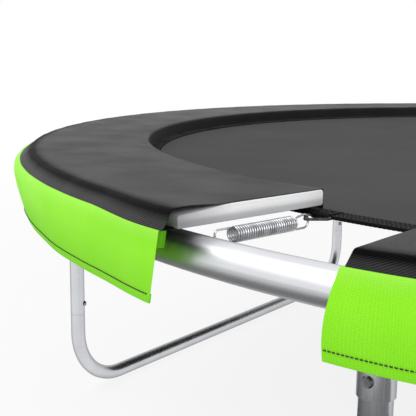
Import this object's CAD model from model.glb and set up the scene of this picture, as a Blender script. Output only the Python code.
import math

import bpy
import numpy as np
from mathutils import Matrix, Vector


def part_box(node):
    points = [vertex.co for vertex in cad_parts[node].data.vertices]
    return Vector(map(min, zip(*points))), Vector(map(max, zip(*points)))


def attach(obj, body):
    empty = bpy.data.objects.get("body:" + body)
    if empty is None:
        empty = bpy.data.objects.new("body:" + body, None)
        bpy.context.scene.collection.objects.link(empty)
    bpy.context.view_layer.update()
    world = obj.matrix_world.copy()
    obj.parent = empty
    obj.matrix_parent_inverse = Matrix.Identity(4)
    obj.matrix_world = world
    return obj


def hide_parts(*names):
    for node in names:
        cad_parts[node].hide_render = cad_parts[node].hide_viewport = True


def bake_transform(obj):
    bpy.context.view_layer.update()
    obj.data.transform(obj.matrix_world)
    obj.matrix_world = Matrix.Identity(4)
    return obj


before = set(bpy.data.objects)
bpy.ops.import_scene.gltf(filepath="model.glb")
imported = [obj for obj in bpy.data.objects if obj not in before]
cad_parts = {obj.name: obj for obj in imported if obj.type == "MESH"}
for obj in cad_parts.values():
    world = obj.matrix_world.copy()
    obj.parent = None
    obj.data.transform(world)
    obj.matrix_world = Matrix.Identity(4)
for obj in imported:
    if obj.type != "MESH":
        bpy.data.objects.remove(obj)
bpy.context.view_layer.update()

print("frame loaded with", len(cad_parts), "nodes")

mm = 0.001


# ---- camera ----

cameraValues = {
    "place": (0.27578, -1.84526, 0.77915),
    "turn": (79.396, -0.547, 37.138),  # degrees
    "lens": 71.12,
    "sensor": 36.0,
}


def addCamera(values):
    turn = [math.radians(angle) for angle in values["turn"]]
    bpy.ops.object.camera_add(location=values["place"], rotation=turn)
    camera = bpy.context.object
    camera.data.lens = values["lens"]
    camera.data.sensor_width = values["sensor"]
    camera.data.clip_end = 60
    bpy.context.scene.camera = camera


addCamera(cameraValues)
print("camera placed")


# ---- sizes read from the frame ----

railLow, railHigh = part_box("ring_section_6")
railTube = (railHigh.z - railLow.z) / 2
railMiddle = railHigh.x - railTube  # radius of the ring's centre line
railZ = (railHigh.z + railLow.z) / 2

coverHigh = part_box("pad_cover")[1]
skirtLow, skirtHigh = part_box("pad_skirt")
underLow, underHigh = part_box("pad_underside")
foamLow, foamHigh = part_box("foam_pad_2")
matLow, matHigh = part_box("jumping_mat")
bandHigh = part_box("mat_edge_webbing")[1]
matZ = (matHigh.z + matLow.z) / 2


# ---- nodes and colours ----

def toLinear(hexColour):
    parts = [int(hexColour[i:i + 2], 16) / 255 for i in (1, 3, 5)]
    return [p / 12.92 if p <= 0.04045 else ((p + 0.055) / 1.055) ** 2.4 for p in parts] + [1]


def addNode(tree, kind, settings=None, links=None):
    # a key that is a socket's name or number sets that socket, any other sets the node itself
    node = tree.nodes.new(kind)
    for key, value in (settings or {}).items():
        if isinstance(key, int) or key in node.inputs:
            node.inputs[key].default_value = value
        else:
            setattr(node, key, value)
    for socket, source in (links or {}).items():
        tree.links.new(source, node.inputs[socket])
    return node


def startMaterial(name, **sockets):
    material = bpy.data.materials.new(name)
    material.use_nodes = True
    tree = material.node_tree
    shader = tree.nodes["Principled BSDF"]
    for socket, value in sockets.items():
        shader.inputs[socket.replace("_", " ")].default_value = value
    return material, tree, shader


def mixColours(tree, share, first, second):
    mix = addNode(tree, "ShaderNodeMix", {"data_type": "RGBA", 6: toLinear(first), 7: toLinear(second)},
                  {0: share})
    return mix.outputs[2]


def tintColour(tree, colour, tint, share):
    mix = addNode(tree, "ShaderNodeMix", {"data_type": "RGBA", 7: toLinear(tint)}, {0: share, 6: colour})
    return mix.outputs[2]


def spread(tree, value, low, high, lowTo, highTo):
    settings = {1: low, 2: high, 3: lowTo, 4: highTo}
    return addNode(tree, "ShaderNodeMapRange", settings, {0: value}).outputs[0]


def addBump(tree, shader, height, depth, strength=1.0):
    bump = addNode(tree, "ShaderNodeBump", {"Strength": strength, "Distance": depth}, {"Height": height})
    tree.links.new(bump.outputs[0], shader.inputs["Normal"])
    return bump


# ---- materials ----

def darkenEdges(tree, colour, edge, start):
    # metal turns darker where it curves away from the eye, as it does in a room that isn't white all round
    facing = addNode(tree, "ShaderNodeLayerWeight", {"Blend": 0.5}).outputs["Facing"]
    return tintColour(tree, colour, edge, spread(tree, facing, start, 0.97, 0.0, 1.0))


def distanceFromAxis(tree, axes):
    # how far a place is from the ring's upright axis
    flat = addNode(tree, "ShaderNodeCombineXYZ", None, {0: axes.outputs[0], 1: axes.outputs[1]})
    return addNode(tree, "ShaderNodeVectorMath", {"operation": "LENGTH"}, {0: flat.outputs[0]}).outputs["Value"]


def rolledSteel(name, light, dark, along, rough, edge, edgeFrom):
    # galvanised tube, drawn and zinc-dipped: bright, with fine streaks along the tube and faint clouds
    material, tree, shader = startMaterial(name, Metallic=1.0)
    where = addNode(tree, "ShaderNodeTexCoord").outputs["Object"]
    if along == "ring":  # streaks follow the ring round
        axes = addNode(tree, "ShaderNodeSeparateXYZ", None, {0: where})
        turn = addNode(tree, "ShaderNodeMath", {"operation": "ARCTAN2"},
                       {0: axes.outputs[1], 1: axes.outputs[0]})
        run = addNode(tree, "ShaderNodeMath", {"operation": "MULTIPLY", 1: railMiddle}, {0: turn.outputs[0]})
        where = addNode(tree, "ShaderNodeCombineXYZ", None,
                        {0: run.outputs[0], 1: distanceFromAxis(tree, axes), 2: axes.outputs[2]}).outputs[0]
        stretch = (1 / 260, 1 / 3, 1 / 3)  # streaks 260 mm long and 3 mm wide
    elif along == "up":
        stretch = (1 / 3, 1 / 3, 1 / 260)
    else:
        stretch = (1 / 60, 1 / 60, 1 / 60)
    streakPlace = addNode(tree, "ShaderNodeMapping", {"Scale": [s / mm for s in stretch]}, {0: where})
    streaks = addNode(tree, "ShaderNodeTexNoise", {"Scale": 1.0, "Detail": 3.0}, {0: streakPlace.outputs[0]})
    clouds = addNode(tree, "ShaderNodeTexNoise", {"Scale": 1 / (60 * mm), "Detail": 2.0}, {0: where})
    both = addNode(tree, "ShaderNodeMath", {"operation": "MULTIPLY_ADD", 1: 0.6, 2: 0.2},
                   {0: streaks.outputs[0]})
    share = addNode(tree, "ShaderNodeMath", {"operation": "MULTIPLY"},
                    {0: both.outputs[0], 1: spread(tree, clouds.outputs[0], 0.3, 0.7, 0.7, 1.3)})
    colour = darkenEdges(tree, mixColours(tree, share.outputs[0], dark, light), edge, edgeFrom)
    tree.links.new(colour, shader.inputs["Base Color"])
    tree.links.new(spread(tree, streaks.outputs[0], 0.3, 0.7, rough, rough + 0.07), shader.inputs["Roughness"])
    addBump(tree, shader, streaks.outputs[0], 0.02 * mm, 0.3)
    return material


def drawnWire(name, light, dark, rough):
    # drawn spring wire or plated screw: bright with small dull specks
    material, tree, shader = startMaterial(name, Metallic=1.0)
    where = addNode(tree, "ShaderNodeTexCoord").outputs["Object"]
    specks = addNode(tree, "ShaderNodeTexNoise", {"Scale": 1 / (14 * mm), "Detail": 2.0}, {0: where})
    share = spread(tree, specks.outputs[0], 0.35, 0.65, 0.0, 1.0)
    colour = darkenEdges(tree, mixColours(tree, share, dark, light), "#0C0C0D", 0.4)
    tree.links.new(colour, shader.inputs["Base Color"])
    tree.links.new(spread(tree, specks.outputs[0], 0.3, 0.7, rough + 0.08, rough), shader.inputs["Roughness"])
    return material


def blackenedRod():
    # black passivated steel rod: dark, with a soft metal gleam
    material, tree, shader = startMaterial("blackened_steel", Metallic=0.85)
    where = addNode(tree, "ShaderNodeTexCoord").outputs["Object"]
    wear = addNode(tree, "ShaderNodeTexNoise", {"Scale": 1 / (5 * mm), "Detail": 4.0}, {0: where})
    share = spread(tree, wear.outputs[0], 0.4, 0.75, 0.0, 1.0)
    tree.links.new(mixColours(tree, share, "#323336", "#5C5E62"), shader.inputs["Base Color"])
    tree.links.new(spread(tree, wear.outputs[0], 0.3, 0.7, 0.34, 0.46), shader.inputs["Roughness"])
    return material


def crossedThreads(tree, where, pitch, angle=0.0):
    # height of a plain weave, from two sets of threads at right angles; pitch in metres or in UV units
    turned = addNode(tree, "ShaderNodeMapping", {"Rotation": (0, 0, angle)}, {0: where})
    sets = []
    for direction in ("X", "Y"):
        wave = addNode(tree, "ShaderNodeTexWave", {"wave_type": "BANDS", "bands_direction": direction,
                                                   "wave_profile": "SIN", "Scale": 0.31416 / pitch,
                                                   "Distortion": 0.0}, {0: turned.outputs[0]})
        sets.append(wave.outputs["Fac"])
    return addNode(tree, "ShaderNodeMath", {"operation": "MULTIPLY"}, {0: sets[0], 1: sets[1]}).outputs[0]


def wovenMesh():
    # woven polypropylene mat: matt and dark, with a fine square weave
    # real threads are 1 mm apart; drawn 2.4 mm apart so that they show
    material, tree, shader = startMaterial("woven_polypropylene", Roughness=0.85, Specular_IOR_Level=0.2)
    where = addNode(tree, "ShaderNodeTexCoord").outputs["Object"]
    threads = crossedThreads(tree, where, 2.4 * mm)
    clouds = addNode(tree, "ShaderNodeTexNoise", {"Scale": 1 / (180 * mm), "Detail": 2.0}, {0: where})
    shade = addNode(tree, "ShaderNodeMath", {"operation": "MULTIPLY_ADD", 1: 0.55},
                    {0: threads, 2: spread(tree, clouds.outputs[0], 0.3, 0.7, 0.1, 0.45)})
    tree.links.new(mixColours(tree, shade.outputs[0], "#39393A", "#4A4A4B"), shader.inputs["Base Color"])
    addBump(tree, shader, threads, 0.35 * mm, 0.7)
    return material


def coatedCloth(name, light, dark, pitch, angle, crossed, depth, rough, shine, tints, band=None):
    # PVC-coated polyester: satin film over a woven backing that shows through as fine ribs.
    # crossed is 1 for threads both ways and 0 for slanted ribs alone
    material, tree, shader = startMaterial(name, Specular_IOR_Level=shine)
    along = addNode(tree, "ShaderNodeUVMap", {"uv_map": "UVMap"}).outputs[0]  # in millimetres
    if crossed:
        threads = crossedThreads(tree, along, pitch, angle)
    else:
        turned = addNode(tree, "ShaderNodeMapping", {"Rotation": (0, 0, angle)}, {0: along})
        threads = addNode(tree, "ShaderNodeTexWave", {"wave_type": "BANDS", "bands_direction": "X",
                                                      "wave_profile": "SIN", "Scale": 0.31416 / pitch,
                                                      "Distortion": 0.0}, {0: turned.outputs[0]}).outputs["Fac"]
    where = addNode(tree, "ShaderNodeTexCoord").outputs["Object"]
    clouds = addNode(tree, "ShaderNodeTexNoise", {"Scale": 1 / (90 * mm), "Detail": 3.0}, {0: where})
    shade = addNode(tree, "ShaderNodeMath", {"operation": "MULTIPLY_ADD", 1: 0.6},
                    {0: threads, 2: spread(tree, clouds.outputs[0], 0.3, 0.7, 0.1, 0.4)})
    colour = mixColours(tree, shade.outputs[0], dark, light)
    across = addNode(tree, "ShaderNodeSeparateXYZ", None, {0: along}).outputs[1]
    if band:  # a dark, dull stripe along the cloth
        start, full, fading, end = band
        rise = spread(tree, across, start, full, 0.0, 0.8)
        fall = spread(tree, across, fading, end, 1.0, 0.0)
        share = addNode(tree, "ShaderNodeMath", {"operation": "MULTIPLY"}, {0: rise, 1: fall}).outputs[0]
        colour = tintColour(tree, colour, "#050506", share)
        tree.links.new(spread(tree, share, 0.0, 0.8, shine, 0.02), shader.inputs["Specular IOR Level"])
    for tint, low, high, lowShare, highShare in tints:  # from one place across the cloth to another, in mm
        colour = tintColour(tree, colour, tint, spread(tree, across, low, high, lowShare, highShare))
    tree.links.new(colour, shader.inputs["Base Color"])
    tree.links.new(spread(tree, clouds.outputs[0], 0.3, 0.7, rough + 0.05, rough - 0.04),
                   shader.inputs["Roughness"])
    addBump(tree, shader, threads, depth, 0.8)
    return material


def blackCover():
    # real ribs are 1.6 mm apart; drawn 2.8 mm apart so that they show
    # black along the crest, where it is bent over the foam, and along the binding of the inner edge
    binding = [("#070708", 232, 240, 0.0, 0.9)]
    crest = (8, 19, 29, 43)  # mm from the seam: the stripe starts, is full, fades and ends
    return coatedCloth("coated_polyester_black", "#38383A", "#0A0A0B", 2.8, math.radians(48), 0,
                       1.0 * mm, 0.5, 0.2, binding, crest)


def greenSkirt():
    # real threads are 1.6 mm apart; drawn 2.2 mm apart so that they show
    # darker towards the hem, paler just under the seam
    return coatedCloth("coated_polyester_green", "#AAFF32", "#88F014", 2.2, 0.0, 1, 0.16 * mm, 0.55, 0.2,
                       [("#5CB40A", 14, 72, 0.3, 0.0), ("#B8F470", 86, 106, 0.0, 0.35)])


def greenBack():
    # the skirt's back, uncoated and in shadow at the cut
    return coatedCloth("polyester_green_back", "#68BC16", "#4A900C", 2.2, 0.0, 1, 0.1 * mm, 0.7, 0.1, [])


def wovenStrap(name, light, dark):
    # polyester webbing: matt, with ribs across its length
    material, tree, shader = startMaterial(name, Roughness=0.9, Specular_IOR_Level=0.08)
    along = addNode(tree, "ShaderNodeUVMap", {"uv_map": "UVMap"}).outputs[0]
    threads = crossedThreads(tree, along, 2.5, math.radians(45))  # herringbone ribs 2.5 mm apart
    tree.links.new(mixColours(tree, threads, dark, light), shader.inputs["Base Color"])
    addBump(tree, shader, threads, 0.3 * mm, 0.8)
    return material


def sewingThread(name, light, dark):
    # twisted polyester thread: a slight gleam and a dark twist
    material, tree, shader = startMaterial(name, Roughness=0.6)
    where = addNode(tree, "ShaderNodeTexCoord").outputs["Object"]
    twist = addNode(tree, "ShaderNodeTexNoise", {"Scale": 1 / (1 * mm), "Detail": 1.0}, {0: where})
    tree.links.new(mixColours(tree, twist.outputs[0], dark, light), shader.inputs["Base Color"])
    return material


def packingFoam():
    # expanded polyethylene foam: pale and matt, with small cells and faint layers where it is cut
    material, tree, shader = startMaterial("polyethylene_foam", Roughness=0.75, Specular_IOR_Level=0.3)
    where = addNode(tree, "ShaderNodeTexCoord").outputs["Object"]
    cells = addNode(tree, "ShaderNodeTexVoronoi", {"Scale": 1 / (2.2 * mm)}, {0: where})
    layers = addNode(tree, "ShaderNodeTexWave", {"wave_type": "BANDS", "bands_direction": "Z",
                                                 "Scale": 0.31416 / (4.5 * mm), "Distortion": 0.6}, {0: where})
    shade = addNode(tree, "ShaderNodeMath", {"operation": "MULTIPLY_ADD", 1: 0.35},
                    {0: layers.outputs["Fac"], 2: spread(tree, cells.outputs[0], 0.0, 0.7, 0.2, 0.65)})
    # greyer in its lower half and out towards its round edge
    axes = addNode(tree, "ShaderNodeSeparateXYZ", None, {0: where})
    middle = (foamLow.z + foamHigh.z) / 2
    colour = mixColours(tree, shade.outputs[0], "#F0F0F4", "#FFFFFF")
    for value, low, high, lowShare, highShare, tint in (
            (axes.outputs[2], middle - 4 * mm, middle + 2 * mm, 0.55, 0.0, "#8E8E93"),
            (distanceFromAxis(tree, axes), foamHigh.x - 70 * mm, foamHigh.x + 6 * mm, 0.0, 0.7, "#6C6C70")):
        colour = tintColour(tree, colour, tint, spread(tree, value, low, high, lowShare, highShare))
    tree.links.new(colour, shader.inputs["Base Color"])
    addBump(tree, shader, cells.outputs[0], 0.15 * mm, 0.4)
    return material


materials = {
    "ring": rolledSteel("galvanised_ring", "#EDEEF0", "#CDCFD3", "ring", 0.36, "#8A8C90", 0.7),
    "leg": rolledSteel("galvanised_leg", "#DEE0E3", "#C6C8CC", "up", 0.24, "#3E4044", 0.36),
    "foot": rolledSteel("galvanised_foot", "#DEE0E3", "#C6C8CC", "all", 0.24, "#3E4044", 0.36),
    "screw": drawnWire("zinc_plated_screw", "#B4B6BA", "#85878B", 0.3),
    "spring": drawnWire("bright_spring_wire", "#D2D4D7", "#AEB0B4", 0.18),
    "rod": blackenedRod(),
    "mat": wovenMesh(),
    "cover": blackCover(),
    "skirt": greenSkirt(),
    "webbing": wovenStrap("polyester_webbing", "#1A1A1C", "#08080A"),
    "strap": wovenStrap("black_strap", "#1A1A1C", "#0E0E0F"),
    "foam": packingFoam(),
    "greyThread": sewingThread("grey_thread", "#434345", "#2A2A2C"),
    "darkThread": sewingThread("dark_thread", "#12260A", "#060E04"),
    "skirtBack": greenBack(),
}
print("materials made")


# ---- making pieces ----

def clearSelection():
    if bpy.context.mode != "OBJECT":
        bpy.ops.object.mode_set(mode="OBJECT")
    bpy.ops.object.select_all(action="DESELECT")


def pick(piece):
    clearSelection()
    piece.select_set(True)
    bpy.context.view_layer.objects.active = piece


def applyModifier(piece, kind, **settings):
    pick(piece)
    modifier = piece.modifiers.new(kind.title(), kind)
    for key, value in settings.items():
        setattr(modifier, key, value)
    bpy.ops.object.modifier_apply(modifier=modifier.name)


def closeSeams(piece, reach=0.01 * mm):
    pick(piece)
    bpy.ops.object.mode_set(mode="EDIT")
    bpy.ops.mesh.select_all(action="SELECT")
    bpy.ops.mesh.remove_doubles(threshold=reach)
    bpy.ops.object.mode_set(mode="OBJECT")


def fillEnds(piece):
    pick(piece)
    bpy.ops.object.mode_set(mode="EDIT")
    bpy.ops.mesh.select_mode(type="EDGE")
    bpy.ops.mesh.select_all(action="DESELECT")
    bpy.ops.mesh.select_non_manifold(extend=False, use_wire=False, use_multi_face=False,
                                     use_non_contiguous=False, use_verts=False)
    bpy.ops.mesh.fill_holes(sides=0)
    bpy.ops.object.mode_set(mode="OBJECT")


def smooth(piece, angle=40):
    pick(piece)
    bpy.ops.object.shade_smooth_by_angle(angle=math.radians(angle))


def finishPiece(piece, material, body=None):
    piece.data.materials.clear()
    piece.data.materials.append(material)
    if body:
        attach(piece, body)
    return piece


def joinCopies(piece, turns):
    # copies of a finished piece turned round the ring's axis, each with its own mesh, as one piece
    copies = []
    for turn in turns[1:]:
        copy = piece.copy()
        copy.data = piece.data.copy()
        bpy.context.collection.objects.link(copy)
        copy.data.transform(Matrix.Rotation(math.radians(turn), 4, "Z"))
        copies.append(copy)
    piece.data.transform(Matrix.Rotation(math.radians(turns[0]), 4, "Z"))
    pick(piece)
    for copy in copies:
        copy.select_set(True)
    bpy.ops.object.join()
    return piece


def arc(centreX, centreY, radius, fromAngle, toAngle, steps):
    # points on an arc, angles in degrees
    turns = np.radians(np.linspace(fromAngle, toAngle, steps + 1))
    return [(centreX + radius * math.cos(t), centreY + radius * math.sin(t)) for t in turns]


def evenLine(points, spacing):
    # the same line with its long runs divided
    line = [points[0]]
    for start, end in zip(points, points[1:]):
        steps = max(1, math.ceil(math.dist(start, end) / spacing))
        line += [tuple(s + (e - s) * i / steps for s, e in zip(start, end)) for i in range(1, steps + 1)]
    return line


def layCloth(name, outline, fromTurn, toTurn, step, bend=None):
    # a flat grid, as the cloth is cut, laid along an outline of (radius, height) and round the ring.
    # The outline runs up the outside and inwards on top, so that the faces point outwards.
    columns = max(1, round(abs(toTurn - fromTurn) / step))
    clearSelection()
    bpy.ops.mesh.primitive_grid_add(x_subdivisions=columns, y_subdivisions=len(outline) - 1, size=2)
    piece = bpy.context.object
    piece.name = piece.data.name = name
    mesh = piece.data
    flat = np.empty(len(mesh.vertices) * 3)
    mesh.vertices.foreach_get("co", flat)
    flat = flat.reshape(-1, 3)
    line = np.array(outline)
    run = np.concatenate([[0], np.cumsum(np.linalg.norm(np.diff(line, axis=0), axis=1))])
    row = np.rint((flat[:, 1] + 1) / 2 * (len(line) - 1)).astype(int)
    turn = fromTurn + (toTurn - fromTurn) * (flat[:, 0] + 1) / 2
    out, high = line[row, 0], line[row, 1]
    across = run[row]
    length = np.radians(turn) * line[:, 0].mean()
    if bend:
        turn, out, high = bend(turn, out, high)
    angle = np.radians(turn)
    place = np.stack([out * np.cos(angle), out * np.sin(angle), high], 1)
    mesh.vertices.foreach_set("co", place.ravel())
    corner = np.empty(len(mesh.loops), int)
    mesh.loops.foreach_get("vertex_index", corner)
    inMillimetres = np.stack([length[corner], across[corner]], 1) / mm
    mesh.uv_layers[0].name = "UVMap"
    mesh.uv_layers[0].uv.foreach_set("vector", inMillimetres.ravel())
    mesh.update()
    return piece


def stepUp(value, start, end):
    # 0 before start, 1 after end, with a soft turn at each
    share = np.clip((value - start) / (end - start), 0, 1)
    return share * share * (3 - 2 * share)


def sewRow(name, points, normals, values):
    # a row of stitches along closely spaced points; each stitch is a short thread that dips at both ends
    points, normals = np.array(points), np.array(normals)
    run = np.concatenate([[0], np.cumsum(np.linalg.norm(np.diff(points, axis=0), axis=1))])
    count = max(1, round(run[-1] / values["pitch"]))
    half = values["thread"] / 2
    vertices, faces = [], []
    stations = [(0.08, -0.6), (0.3, 0.5), (0.7, 0.5), (0.92, -0.6)]  # share of the pitch, lift in threads
    for i in range(count):
        base = len(vertices)
        for share, lift in stations:
            at = (i + share) * run[-1] / count
            place = np.array([np.interp(at, run, points[:, k]) for k in range(3)])
            ahead = np.array([np.interp(at + half, run, points[:, k]) for k in range(3)])
            back = np.array([np.interp(at - half, run, points[:, k]) for k in range(3)])
            up = np.array([np.interp(at, run, normals[:, k]) for k in range(3)])
            side = np.cross(ahead - back, up)
            side = side / np.linalg.norm(side) * half
            middle = place + up * lift * 2 * half
            vertices += [middle + side, middle + up * half, middle - side, middle - up * half]
        for j in range(len(stations) - 1):
            a = base + 4 * j
            faces += [(a + k, a + 4 + k, a + 4 + (k + 1) % 4, a + (k + 1) % 4) for k in range(4)]
        last = base + 4 * (len(stations) - 1)
        faces += [(base, base + 1, base + 2, base + 3), (last + 3, last + 2, last + 1, last)]
    mesh = bpy.data.meshes.new(name)
    mesh.from_pydata([tuple(v) for v in vertices], [], faces)
    piece = bpy.data.objects.new(name, mesh)
    bpy.context.collection.objects.link(piece)
    pick(piece)
    bpy.ops.object.mode_set(mode="EDIT")
    bpy.ops.mesh.select_all(action="SELECT")
    bpy.ops.mesh.normals_make_consistent(inside=False)
    bpy.ops.object.mode_set(mode="OBJECT")
    return piece


def bendWire(name, points, thickness, closed=False):
    # a wire or rod along a line of points
    curve = bpy.data.curves.new(name, "CURVE")
    curve.dimensions = "3D"
    curve.bevel_depth = thickness / 2
    curve.bevel_resolution = 2
    curve.use_fill_caps = not closed
    spline = curve.splines.new("POLY")
    spline.points.add(len(points) - 1)
    spline.points.foreach_set("co", np.array([(*p, 1) for p in points]).ravel())
    spline.use_cyclic_u = closed
    piece = bpy.data.objects.new(name, curve)
    bpy.context.collection.objects.link(piece)
    pick(piece)
    bpy.ops.object.convert(target="MESH")
    piece = bpy.context.object
    closeSeams(piece, 0.001 * mm)
    smooth(piece, 50)
    return piece


# ---- frame tubes and screws: the CAD shapes, with their metal ----

def paintNodes(names, material):
    for name in names:
        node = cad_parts[name]
        node.data.materials.clear()
        node.data.materials.append(material)


six = range(1, 7)
paintNodes([f"ring_section_{k}" for k in six], materials["ring"])
paintNodes([f"leg_tube_{k}" for k in six] + [f"leg_socket_{k}" for k in six], materials["leg"])
paintNodes([f"foot_tube_{k}" for k in (1, 2, 3)], materials["foot"])
paintNodes(["ring_screws", "socket_screws", "leg_screws"], materials["screw"])
print("frame painted")


# ---- springs ----

springValues = {
    "count": 36,
    "first": -1.0,  # degrees
    "wire": 3.0 * mm,
    "shown": 2.5 * mm,  # drawn a little thinner, so that the gaps between the curls show
    "outside": 19.0 * mm,
    "curls": 27,
    "body": 98.0 * mm,
    "hookReach": 19.5 * mm,
    "hookBend": 4.5 * mm,
    "hookDrop": 9.0 * mm,
    "hookAt": 1188.8 * mm,  # radius at which the hook goes down into the ring
    "eyeRun": 18.0 * mm,
    "eyeBack": 12.0 * mm,  # the eye's end, back towards the curls
    "ringsPerCurl": 14,
    "lead": 0.125,  # part of a curl that the hook and the eye bend through
}


def softLink(start, leave, end, arrive, pull, steps):
    # points of a smooth bend between two directions
    start, leave, end, arrive = (np.array(v) for v in (start, leave, end, arrive))
    line = []
    for i in range(1, steps):
        t = i / steps
        line.append((1 - t) ** 3 * start + 3 * t * (1 - t) ** 2 * (start + pull * leave)
                    + 3 * t * t * (1 - t) * (end - pull * arrive) + t ** 3 * end)
    return line


def springLine(values):
    # from the hook's tip in the ring to the eye, in the plane of the spring, with x outwards
    coil = (values["outside"] - values["wire"]) / 2
    body, bend = values["body"], values["hookBend"]
    pitch = (body - values["wire"]) / values["curls"]
    tip = body + values["hookReach"] + bend

    def curl(u):
        angle = 2 * math.pi * u
        return np.array([body - values["wire"] / 2 - pitch * u, -coil * math.sin(angle), coil * math.cos(angle)])

    def heading(u):
        step = curl(u + 0.001) - curl(u - 0.001)
        return step / np.linalg.norm(step)

    hook = [np.array([tip, 0, coil - bend - values["hookDrop"] * s]) for s in (1, 0.5)]
    hook += [np.array([tip - bend + x, 0, coil - bend + z]) for x, z in arc(0, 0, bend, 0, 90, 6)]
    hook += [np.array([body + 4 * mm + values["hookReach"] * s, 0, coil]) for s in (0.5, 0.25, 0)]
    eye = [np.array([x, 0, z]) for x, z in arc(-values["eyeRun"], 0, coil, 90, 270, 14)]
    eye += [np.array([-values["eyeRun"] + values["eyeBack"] * s, 0, -coil]) for s in (0.5, 1)]
    last = values["curls"] - values["lead"]
    curlCount = round(values["ringsPerCurl"] * (last - values["lead"]))
    curls = [curl(values["lead"] + (last - values["lead"]) * i / curlCount) for i in range(curlCount + 1)]
    inward = (-1, 0, 0)
    return (hook + softLink(hook[-1], inward, curls[0], heading(values["lead"]), 2.6 * mm, 6) + curls
            + softLink(curls[-1], heading(last), eye[0], inward, 2.6 * mm, 6) + eye)


def makeSprings(values):
    inner = values["hookAt"] - values["hookBend"] - values["hookReach"] - values["body"]
    first = bendWire("spring_00", springLine(values), values["shown"])
    first.data.materials.append(materials["spring"])
    first.data.transform(Matrix.Translation((inner, 0, springZ)))
    springs = [first]
    for k in range(1, values["count"]):
        spring = first.copy()
        spring.data = first.data.copy()
        spring.name = spring.data.name = f"spring_{k:02d}"
        bpy.context.collection.objects.link(spring)
        springs.append(spring)
    for k, spring in enumerate(springs):
        turn = Matrix.Rotation(math.radians(values["first"] + 360 / values["count"] * k), 4, "Z")
        spring.data.transform(turn)
        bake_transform(spring)
    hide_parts("spring_open", "springs")
    return springs


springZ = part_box("springs")[0].z + springValues["outside"] / 2
springs = makeSprings(springValues)
springTurns = [springValues["first"] + 360 / springValues["count"] * k for k in range(springValues["count"])]
print("springs made:", len(springs))


# ---- mat, its webbing and its rings ----

matValues = {
    "sag": 1.5 * mm,
    "rows": 24,
    "step": 1.5,  # degrees
    "webbing": 1.5 * mm,
    "webbingWidth": 31.0 * mm,
    "threadRows": (4.0 * mm, 9.0 * mm, 15.0 * mm, 21.0 * mm, 27.0 * mm),  # from the outer edge
    "rod": 3.6 * mm,
    "ringLength": 28.0 * mm,
    "ringWidth": 46.0 * mm,
    "ringBase": 1019.1 * mm,
    "loopWidth": 25.0 * mm,
    "loopTail": 28.0 * mm,
    "loopThick": 1.2 * mm,
}
matStitch = {"pitch": 6.0 * mm, "thread": 0.7 * mm}
loopStitch = {"pitch": 3.6 * mm, "thread": 0.8 * mm}


def makeMat(values):
    radius = matHigh.x
    rows = np.linspace(0, 1, values["rows"] + 1)
    outline = [(radius * (1 - t), matHigh.z - values["sag"] * (1 - (1 - t) ** 2)) for t in rows]
    mat = layCloth("jumping_mat_woven", outline, 0, 360, values["step"])
    closeSeams(mat)
    applyModifier(mat, "SOLIDIFY", thickness=matHigh.z - matLow.z, offset=-1)
    smooth(mat)
    finishPiece(mat, materials["mat"], "mat")
    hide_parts("jumping_mat")
    return mat


def makeWebbing(values):
    # one webbing, folded over the mat's edge
    outer, top = bandHigh.x, bandHigh.z
    half = top - matZ
    inner = outer - values["webbingWidth"]
    edge = [(outer - half + x, matZ + z) for x, z in arc(0, 0, half, -90, 90, 6)]
    outline = evenLine([(inner, matZ - half)] + edge + [(inner, top)], 8 * mm)
    webbing = layCloth("mat_webbing_sewn", outline, 0, 360, 1)
    closeSeams(webbing)
    applyModifier(webbing, "SOLIDIFY", thickness=values["webbing"] - 0.05 * mm, offset=-1)
    smooth(webbing)
    finishPiece(webbing, materials["webbing"], "mat")
    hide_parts("mat_edge_webbing")
    rows = []
    turns = np.radians(np.linspace(0, 360, 721))
    for k, inset in enumerate(values["threadRows"]):
        for side in (1, -1):
            reach = outer - inset
            points = [(reach * math.cos(t), reach * math.sin(t), matZ + side * half) for t in turns]
            rows.append(sewRow(f"mat_stitches_{k}_{side}", points, [(0, 0, side)] * len(points), matStitch))
    pick(rows[0])
    for row in rows:
        row.select_set(True)
    bpy.ops.object.join()
    rows[0].name = rows[0].data.name = "mat_stitches"
    finishPiece(rows[0], materials["greyThread"], "mat")
    return webbing


def makeRings(values):
    # three-cornered rings, bent from rod
    base, tip, half = values["ringBase"], values["ringBase"] + values["ringLength"], values["ringWidth"] / 2
    corners = [((base, -half), 5 * mm), ((tip, 0), 2.5 * mm), ((base, half), 5 * mm)]
    line = []
    for k, (corner, radius) in enumerate(corners):
        here = np.array(corner)
        ahead = np.array(corners[(k + 1) % 3][0]) - here
        back = np.array(corners[k - 1][0]) - here
        ahead, back = ahead / np.linalg.norm(ahead), back / np.linalg.norm(back)
        halfAngle = math.acos(np.clip(ahead @ back, -1, 1)) / 2
        reach = radius / math.tan(halfAngle)
        centre = here + (ahead + back) / np.linalg.norm(ahead + back) * radius / math.sin(halfAngle)
        start, end = here + back * reach - centre, here + ahead * reach - centre
        turned = math.atan2(start[0] * end[1] - start[1] * end[0], start @ end)
        for i in range(7):
            angle = turned * i / 6
            x = start[0] * math.cos(angle) - start[1] * math.sin(angle)
            y = start[0] * math.sin(angle) + start[1] * math.cos(angle)
            line.append((centre[0] + x, centre[1] + y, matZ))
    ring = bendWire("three_cornered_rings", line, values["rod"], closed=True)
    joinCopies(ring, springTurns)
    finishPiece(ring, materials["rod"], "mat")
    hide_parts("v_rings")
    return ring


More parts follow.
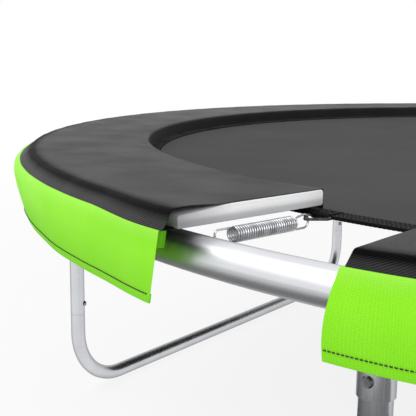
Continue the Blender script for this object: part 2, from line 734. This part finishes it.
def makeLoops(values):
    # a webbing loop round each ring's base, sewn down on both faces of the mat's edge
    base, tail, thick = values["ringBase"], values["loopTail"], values["loopThick"]
    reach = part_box("ring_loops")[1].z - matZ
    fold = [(base + x, matZ + z) for x, z in arc(0, 0, reach, -90, 90, 10)]
    outline = evenLine([(base - tail, matZ - reach)] + fold + [(base - tail, matZ + reach)], 6 * mm)
    halfTurn = math.degrees(values["loopWidth"] / base) / 2
    loop = layCloth("ring_loops_sewn", outline, -halfTurn, halfTurn, halfTurn / 4)
    applyModifier(loop, "SOLIDIFY", thickness=thick - 0.05 * mm, offset=-1)
    applyModifier(loop, "BEVEL", width=0.25 * mm, segments=2, limit_method="ANGLE")
    loop.data.materials.append(materials["webbing"])
    # a box of stitches with a cross in it
    inset = 3.5 * mm
    far, near = base - tail + inset, base - 9 * mm
    side = values["loopWidth"] / 2 - inset
    box = [(far, -side), (near, -side), (near, side), (far, side), (far, -side), (near, side)]
    route = evenLine(box, 2 * mm)
    threads = [loop]
    for face in (1, -1):
        points = [(x, y, matZ + face * reach) for x, y in route]
        row = sewRow(f"loop_stitches_{face}", points, [(0, 0, face)] * len(points), loopStitch)
        row.data.materials.append(materials["greyThread"])
        threads.append(row)
    pick(loop)
    for row in threads:
        row.select_set(True)
    bpy.ops.object.join()
    smooth(loop, 50)
    joinCopies(loop, springTurns)
    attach(loop, "mat")
    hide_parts("ring_loops")
    return loop


makeMat(matValues)
makeWebbing(matValues)
makeRings(matValues)
makeLoops(matValues)
print("mat made")


# ---- pad: foam, cover, underside, skirt and straps ----

padValues = {
    "rightEnd": -91.4,  # degrees, the two ends of the pad at the open stretch
    "leftEnd": 258.1,
    "cloth": 1.0 * mm,
    "inner": 1008.0 * mm,
    "crest": 1217.0 * mm,
    "seam": 1238.0 * mm,
    "innerCorner": 4.0 * mm,
    "innerUp": 4.6 * mm,  # the cover's inner edge hangs this far above the mat at the cuts
    "innerRest": 0.9 * mm,  # and this far elsewhere
    "crestCorner": 13.0 * mm,
    # the loose ends of the cover stand out from the ring
    "leftFlare": 8.0,  # degrees over which the left end flares
    "rightFlare": 7.0,
    "leftCrestOut": 21.0 * mm,
    "leftCrestUp": 3.5 * mm,
    "leftFoamOut": 11.0 * mm,
    "leftFoamDown": 4.5 * mm,
    "leftSeamOut": 18.0 * mm,
    "rightCrestOut": 19.0 * mm,
    "rightSeamUp": -1.0 * mm,
    "leftInnerIn": 12.0 * mm,
    "leftTongue": 0.6,  # degrees that the seam reaches past the left cut
    "rightTongue": 0.35,
    "rightInner": 0.55,  # degrees that the right cut runs back at the pad's inner edge
    "pucker": 0.45 * mm,
    "wave": 0.3 * mm,
}
coverTop = coverHigh.z
seamZ = skirtHigh.z


def leftShare(turn):
    values = padValues
    return stepUp(turn, values["leftEnd"] - values["leftFlare"], values["leftEnd"])


def rightShare(turn):
    values = padValues
    return stepUp(-turn, -values["rightEnd"] - values["rightFlare"], -values["rightEnd"])


def ripple(turn, folds, seed):
    # a wandering wave round the ring, from three plain ones that don't repeat together
    angle = np.radians(turn)
    return (np.sin(folds * angle + seed) + 0.6 * np.sin((1.7 * folds + 3) * angle + 2.1 * seed)
            + 0.4 * np.sin((2.9 * folds + 5) * angle + 3.7 * seed)) / 2


def innerShare(out):
    # 1 at the pad's inner edge, 0 at its crest
    return np.clip((padValues["crest"] - out) / (padValues["crest"] - padValues["inner"]), 0, 1)


def drapeCover(turn, out, high):
    values = padValues
    left, right = leftShare(turn), rightShare(turn)
    crestShare = stepUp(out, values["crest"] - 45 * mm, values["crest"] - 2 * mm)
    seamShare = stepUp(out, values["crest"] - 4 * mm, values["seam"])
    onTop = stepUp(high, coverTop - 3 * mm, coverTop)
    # puckers across the crest and the slope, and slow waves over the foam
    pucker = values["pucker"] * ripple(turn, 71, 1.3) * crestShare * (1 - 0.5 * seamShare)
    wave = values["wave"] * (0.5 + 0.5 * ripple(turn + out * 9, 9, 0.4)) * onTop
    newOut = (out
              + crestShare * (left * values["leftCrestOut"] + right * values["rightCrestOut"] * (1 - seamShare))
              + seamShare * left * (values["leftSeamOut"] - values["leftCrestOut"]) + pucker)
    arch = stepUp(out, values["crest"] - 50 * mm, values["crest"] - 14 * mm) * (1 - seamShare)
    newHigh = (high + seamShare * right * values["rightSeamUp"] + wave * (1 - crestShare) + 0.5 * pucker
               + arch * left * values["leftCrestUp"])
    # the sloped edge reaches past both cuts
    endLeft = stepUp(turn, values["leftEnd"] - 2.5, values["leftEnd"]) ** 2
    endRight = stepUp(-turn, -values["rightEnd"] - 2.5, -values["rightEnd"]) ** 2
    tongue = stepUp(out, values["crest"] - 25 * mm, values["seam"])
    newTurn = (turn + endLeft * tongue * values["leftTongue"]
               + endRight * (innerShare(out) * values["rightInner"] - seamShare * values["rightTongue"]))
    # away from the cuts the inner edge reaches down to the mat
    edgeTop = coverTop - values["innerCorner"]
    edgeShare = np.clip((edgeTop - high) / (edgeTop - matZ - values["innerUp"]), 0, 1) * innerShare(out)
    newHigh = newHigh - edgeShare * (1 - np.maximum(left, right)) * (values["innerUp"] - values["innerRest"])
    return newTurn, newOut - left * innerShare(out) * values["leftInnerIn"], newHigh


def coverOutline():
    values = padValues
    slopeAngle = math.atan2(coverTop - seamZ, values["seam"] - values["crest"])
    corner = values["crestCorner"]
    # rounded crest between the slope and the flat top
    reach = corner * math.tan(slopeAngle / 2)
    centre = (values["crest"] - reach, coverTop - corner)
    crest = arc(centre[0], centre[1], corner, 90 - math.degrees(slopeAngle), 90, 6)
    inner = arc(values["inner"] + values["innerCorner"], coverTop - values["innerCorner"],
                values["innerCorner"], 90, 180, 5)
    return evenLine([(values["seam"] - 0.8 * mm, seamZ + 0.3 * mm)] + crest + inner
                    + [(values["inner"], matZ + values["innerUp"])], 9 * mm)


def makeCover():
    values = padValues
    outline = coverOutline()
    cover = layCloth("pad_cover_cloth", outline, values["rightEnd"], values["leftEnd"], 0.5, drapeCover)
    applyModifier(cover, "SOLIDIFY", thickness=values["cloth"], offset=-1)
    smooth(cover, 50)
    finishPiece(cover, materials["cover"], "frame")
    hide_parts("pad_cover")
    # the flat cut is a ring sewn from panels: its width over its mean length, less the pad's opening
    return cover


def drapeFoam(turn, out, high):
    values = padValues
    shove = leftShare(turn) * values["leftFoamOut"] + rightShare(turn) * (values["rightCrestOut"] - 2 * mm)
    crestShare = stepUp(out, values["crest"] - 45 * mm, values["crest"] - 4 * mm)
    flatten = stepUp(out, values["crest"] - 70 * mm, values["crest"] - 4 * mm) * leftShare(turn)
    topShare = (high - foamLow.z) / (foamHigh.z - foamLow.z)
    endRight = stepUp(-turn, -values["rightEnd"] - 2.5, -values["rightEnd"]) ** 2
    newOut = out + shove * crestShare - leftShare(turn) * innerShare(out) * values["leftInnerIn"]
    return (turn + endRight * innerShare(out) * values["rightInner"], newOut,
            high - flatten * topShare * values["leftFoamDown"])


def makeFoam():
    # six curved slabs laid end to end
    values = padValues
    inner, outer = values["inner"] + 1.6 * mm, values["crest"] - 3 * mm
    low, top = foamLow.z, foamHigh.z
    round4, round3 = 4 * mm, 3.2 * mm
    corners = (arc(outer - round3, low + round3, round3, -90, 0, 4)
               + arc(outer - round4, top - round4, round4, 0, 90, 5)
               + arc(inner + round4, top - round4, round4, 90, 180, 5)
               + arc(inner + round3, low + round3, round3, 180, 270, 4))
    outline = evenLine(corners + [corners[0]], 12 * mm)
    first, last = values["rightEnd"] - 0.1, values["leftEnd"] + 0.1
    span = (last - first) / 6
    for k in range(6):
        start, end = first + k * span + 0.02, first + (k + 1) * span - 0.02
        foam = layCloth(f"foam_{k + 1}", outline, start, end, 1, drapeFoam)
        closeSeams(foam)
        fillEnds(foam)
        applyModifier(foam, "BEVEL", width=1.6 * mm, segments=3, limit_method="ANGLE",
                      angle_limit=math.radians(55))
        smooth(foam, 50)
        finishPiece(foam, materials["foam"], "frame")
        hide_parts(f"foam_pad_{k + 1}")


def makeUnderside():
    inner, outer = underLow.z, underHigh.z
    values = padValues
    outline = evenLine([(values["inner"] + 1.4 * mm, inner), (underHigh.x, inner)], 15 * mm)
    first, last = values["rightEnd"] - 0.4, values["leftEnd"] - 0.2
    under = layCloth("pad_underside_sheet", outline, first, last, 1)
    applyModifier(under, "SOLIDIFY", thickness=outer - inner, offset=-1)
    finishPiece(under, materials["cover"], "frame")
    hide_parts("pad_underside")


skirtValues = {
    "cloth": 0.8 * mm,
    "hemIn": 10.0 * mm,
    "hemFlap": 12.0 * mm,
    "stitchUp": 11.5 * mm,
    "foldDepth": 1.6 * mm,
    "leftTop": 0.4,  # degrees that the skirt's top reaches past the pad's left cut
    "leftBottom": -1.0,
    "rightBelly": 1.35,  # degrees that the right cut edge swings out
    "leftHemUp": 5.0 * mm,
    "foldBack": 20.0 * mm,  # height of the loose end that is folded in behind the left cut
    "foldBackWide": 0.26,  # degrees
    "billow": 15.0 * mm,  # how far the skirt bellies out below its seam on the left
    "billowAt": 212.0,  # degrees
    "billowWide": 34.0,
}
hemStitch = {"pitch": 4.5 * mm, "thread": 1.4 * mm}


def hangSkirt(turn, out, high):
    pad, values = padValues, skirtValues
    drop = np.clip((seamZ - high) / (seamZ - skirtLow.z), 0, 1)
    left, right = leftShare(turn), rightShare(turn)
    fold = values["foldDepth"] * drop * (1 - 0.7 * left) * (1 - 0.6 * right) * ripple(turn, 19, 0.9)
    belly = values["billow"] * np.exp(-((turn - values["billowAt"]) / values["billowWide"]) ** 2)
    belly = belly * np.sin(math.pi * np.sqrt(drop)) * (1 - left)
    newOut = out - values["hemIn"] * drop * (1 - 0.6 * right) + left * pad["leftSeamOut"] + fold + belly
    newHigh = high + right * pad["rightSeamUp"] + left * drop * values["leftHemUp"]
    endLeft = stepUp(turn, pad["leftEnd"] - 3, pad["leftEnd"]) ** 2
    endRight = stepUp(-turn, -pad["rightEnd"] - 3, -pad["rightEnd"]) ** 2
    cutLeft = values["leftTop"] + (values["leftBottom"] - values["leftTop"]) * drop
    cutRight = -0.55 - (values["rightBelly"] - 0.55) * np.sin(np.clip(drop, 0, 1) * 0.62 * math.pi)
    return turn + endLeft * cutLeft + endRight * cutRight, newOut, newHigh


def curlBack(turn, out, high):
    # the end of the cloth turns in behind the skirt, towards the ring
    pad, values = padValues, skirtValues
    share = np.clip((turn - pad["leftEnd"]) / values["foldBackWide"], 0, 1)
    drop = (seamZ - high) / (seamZ - skirtLow.z)
    edge = values["leftTop"] + (values["leftBottom"] - values["leftTop"]) * drop
    newOut = out + pad["leftSeamOut"] - values["hemIn"] * drop - 1 * mm - 7 * mm * share ** 2
    return turn + edge - 0.1 + values["foldBackWide"] * (np.sin(share * math.pi / 2) - share), newOut, high


def makeFoldBack():
    pad, values = padValues, skirtValues
    outline = evenLine([(pad["seam"], seamZ - values["foldBack"]), (pad["seam"], seamZ - 1 * mm)], 4 * mm)
    piece = layCloth("skirt_end_fold", outline, pad["leftEnd"], pad["leftEnd"] + values["foldBackWide"],
                     values["foldBackWide"] / 8, curlBack)
    applyModifier(piece, "SOLIDIFY", thickness=values["cloth"], offset=-1)
    smooth(piece, 50)
    return finishPiece(piece, materials["skirtBack"], "frame")


def makeSkirt():
    pad, values = padValues, skirtValues
    seam, low, cloth = pad["seam"], skirtLow.z, values["cloth"]
    turnIn = 1.1 * mm
    hem = arc(seam - turnIn, low + turnIn, turnIn, -180, 0, 6)
    outline = evenLine([(seam - 2 * turnIn, low + values["hemFlap"])] + hem
                       + [(seam, seamZ - 0.8 * mm), (seam - 0.3 * mm, seamZ - 0.1 * mm), (seam - 1 * mm, seamZ),
                          (seam - 3.5 * mm, seamZ - 0.4 * mm)], 7 * mm)
    skirt = layCloth("pad_skirt_cloth", outline, pad["rightEnd"], pad["leftEnd"], 0.5, hangSkirt)
    applyModifier(skirt, "SOLIDIFY", thickness=cloth, offset=-1)
    smooth(skirt, 50)
    finishPiece(skirt, materials["skirt"], "frame")
    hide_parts("pad_skirt")
    turns = np.linspace(pad["rightEnd"] + 0.05, pad["leftEnd"] - 0.25, 1400)
    high = np.full(len(turns), low + values["stitchUp"])
    turned, out, up = hangSkirt(turns, np.full(len(turns), seam), high)
    angle = np.radians(turned)
    points = np.stack([out * np.cos(angle), out * np.sin(angle), up], 1)
    normals = np.stack([np.cos(angle), np.sin(angle), 0 * angle], 1)
    stitches = sewRow("skirt_hem_stitches", points, normals, hemStitch)
    finishPiece(stitches, materials["darkThread"], "frame")
    foldBack = makeFoldBack()
    return skirt


strapValues = {
    "width": 20.0 * mm,
    "thick": 1.2 * mm,
    "gap": 0.3 * mm,
    "first": 14,  # degrees
    "apart": 30,
    "count": 12,
}


def makeStraps(values):
    # webbing under the ring tube, sewn to the pad's underside on both sides
    reach = railTube + values["gap"] + values["thick"]
    top = underLow.z - 0.2 * mm
    loop = [(railMiddle + x, railZ + z) for x, z in arc(0, 0, reach, 180, 360, 18)]
    outline = evenLine([(railMiddle - reach, top)] + loop + [(railMiddle + reach, top)], 8 * mm)
    halfTurn = math.degrees(values["width"] / railMiddle) / 2
    strap = layCloth("pad_straps_webbing", outline, -halfTurn, halfTurn, halfTurn / 2)
    applyModifier(strap, "SOLIDIFY", thickness=values["thick"] - 0.05 * mm, offset=-1)
    applyModifier(strap, "BEVEL", width=0.25 * mm, segments=2, limit_method="ANGLE")
    smooth(strap, 50)
    joinCopies(strap, [values["first"] + values["apart"] * k for k in range(values["count"])])
    finishPiece(strap, materials["strap"], "frame")
    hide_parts("pad_straps")


makeFoam()
makeUnderside()
makeSkirt()
makeCover()
makeStraps(strapValues)
print("pad made")


# ---- studio ----

studioValues = {
    "ambient": 0.55,
    "key": {"place": (-2.6, -3.2, 4.2), "size": 3.2, "power": 112},
    "fill": {"place": (3.6, -2.4, 2.6), "size": 2.6, "power": 72},
    "floorWhite": 0.86,  # part of the floor that shows plain white, near the object
    "whiteFrom": 2.0,  # metres from the middle, where the floor starts to turn all white
    "whiteTo": 4.5,
    "cardFrom": 50 * mm,  # a dark card under the ring that only reflections see, inside and outside of it
    "cardTo": 230 * mm,
    "cardDown": 150 * mm,
    "cardShade": 0.2,
}


def addLamp(name, values):
    place = Vector(values["place"])
    aim = (Vector((0, -0.6, 0.4)) - place).to_track_quat("-Z", "Y").to_euler()
    bpy.ops.object.light_add(type="AREA", location=place, rotation=aim)
    lamp = bpy.context.object
    lamp.name = name
    lamp.data.size = values["size"]
    lamp.data.energy = values["power"]


def seenDirectly(tree):
    # 1 for what the camera, a reflection or glass shows
    path = addNode(tree, "ShaderNodeLightPath")
    first = addNode(tree, "ShaderNodeMath", {"operation": "MAXIMUM"},
                    {0: path.outputs["Is Camera Ray"], 1: path.outputs["Is Glossy Ray"]})
    return addNode(tree, "ShaderNodeMath", {"operation": "MAXIMUM"},
                   {0: first.outputs[0], 1: path.outputs["Is Transmission Ray"]}).outputs[0]


def layCard(values):
    # gives round tubes the dark lower side that they have over a real floor
    inner, outer = railMiddle - values["cardFrom"], railMiddle + values["cardTo"]
    clearSelection()
    bpy.ops.mesh.primitive_circle_add(vertices=96, radius=outer, fill_type="NGON",
                                      location=(0, 0, railZ - values["cardDown"]))
    card = bpy.context.object
    card.name = "dark_card"
    bpy.ops.object.mode_set(mode="EDIT")
    bpy.ops.mesh.select_all(action="SELECT")
    bpy.ops.mesh.inset(thickness=outer - inner)
    bpy.ops.mesh.delete(type="FACE")
    bpy.ops.object.mode_set(mode="OBJECT")
    paint, tree, shader = startMaterial("card_paint")
    shade = addNode(tree, "ShaderNodeEmission", {"Color": (1, 1, 1, 1), "Strength": values["cardShade"]})
    tree.links.new(shade.outputs[0], tree.nodes["Material Output"].inputs[0])
    card.data.materials.append(paint)
    card.visible_camera = card.visible_diffuse = card.visible_shadow = card.visible_transmission = False


def buildStudio(values):
    world = bpy.context.scene.world or bpy.data.worlds.new("studio")
    bpy.context.scene.world = world
    world.use_nodes = True
    tree = world.node_tree
    tree.nodes.clear()
    soft = addNode(tree, "ShaderNodeBackground", {"Color": (1, 1, 1, 1), "Strength": values["ambient"]})
    white = addNode(tree, "ShaderNodeBackground", {"Color": (1, 1, 1, 1), "Strength": 1.0})
    mix = addNode(tree, "ShaderNodeMixShader", None,
                  {0: seenDirectly(tree), 1: soft.outputs[0], 2: white.outputs[0]})
    addNode(tree, "ShaderNodeOutputWorld", None, {0: mix.outputs[0]})
    clearSelection()
    bpy.ops.mesh.primitive_circle_add(vertices=96, radius=30, fill_type="NGON", location=(0, 0, 0))
    floor = bpy.context.object
    floor.name = "floor"
    floorPaint, tree, shader = startMaterial("floor_paint", Base_Color=toLinear("#F4F4F4"), Roughness=0.9,
                                             Specular_IOR_Level=0.1)
    glow = addNode(tree, "ShaderNodeEmission", {"Color": (1, 1, 1, 1), "Strength": 1.0})
    where = addNode(tree, "ShaderNodeTexCoord").outputs["Object"]
    away = addNode(tree, "ShaderNodeVectorMath", {"operation": "LENGTH"}, {0: where}).outputs["Value"]
    part = spread(tree, away, values["whiteFrom"], values["whiteTo"], values["floorWhite"], 1.0)
    share = addNode(tree, "ShaderNodeMath", {"operation": "MULTIPLY"}, {0: seenDirectly(tree), 1: part})
    mix = addNode(tree, "ShaderNodeMixShader", None,
                  {0: share.outputs[0], 1: shader.outputs[0], 2: glow.outputs[0]})
    tree.links.new(mix.outputs[0], tree.nodes["Material Output"].inputs[0])
    floor.data.materials.append(floorPaint)
    layCard(values)
    addLamp("key", values["key"])
    addLamp("fill", values["fill"])
    bpy.context.scene.view_settings.view_transform = "Standard"


buildStudio(studioValues)
print("studio lit")
